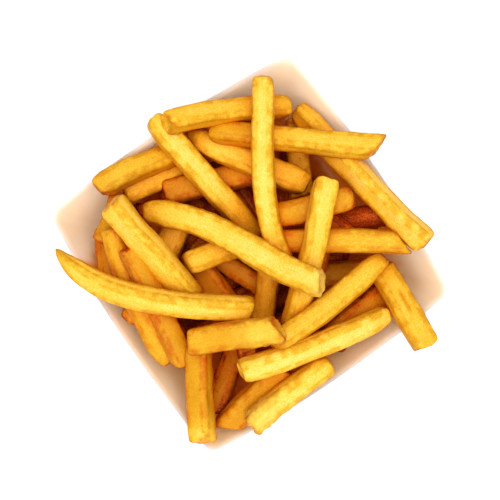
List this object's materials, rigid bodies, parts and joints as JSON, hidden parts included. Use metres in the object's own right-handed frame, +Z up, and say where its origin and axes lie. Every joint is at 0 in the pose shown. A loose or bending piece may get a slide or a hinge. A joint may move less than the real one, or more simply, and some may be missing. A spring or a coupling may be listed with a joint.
{
  "type": "bowl of french fries",
  "caption": "Square flared bowl in white glaze, heaped above its rim with thick-cut French fries that cross each other and overhang its edges.",
  "frame": {"origin": "middle of the bowl's flat underside", "axes": "+Z up, with the bowl's sides along X and Y; the fry with a pointed end that leans furthest out lies on the -X side"},
  "size_m": [0.1411, 0.1427, 0.0788],
  "materials": {
    "glaze": "glossy white glaze",
    "crust": "golden fried crust with a thin film of oil"
  },
  "bodies": {
    "root": {"bowl": "glaze", "fries": "crust"}
  },
  "joints": []
}
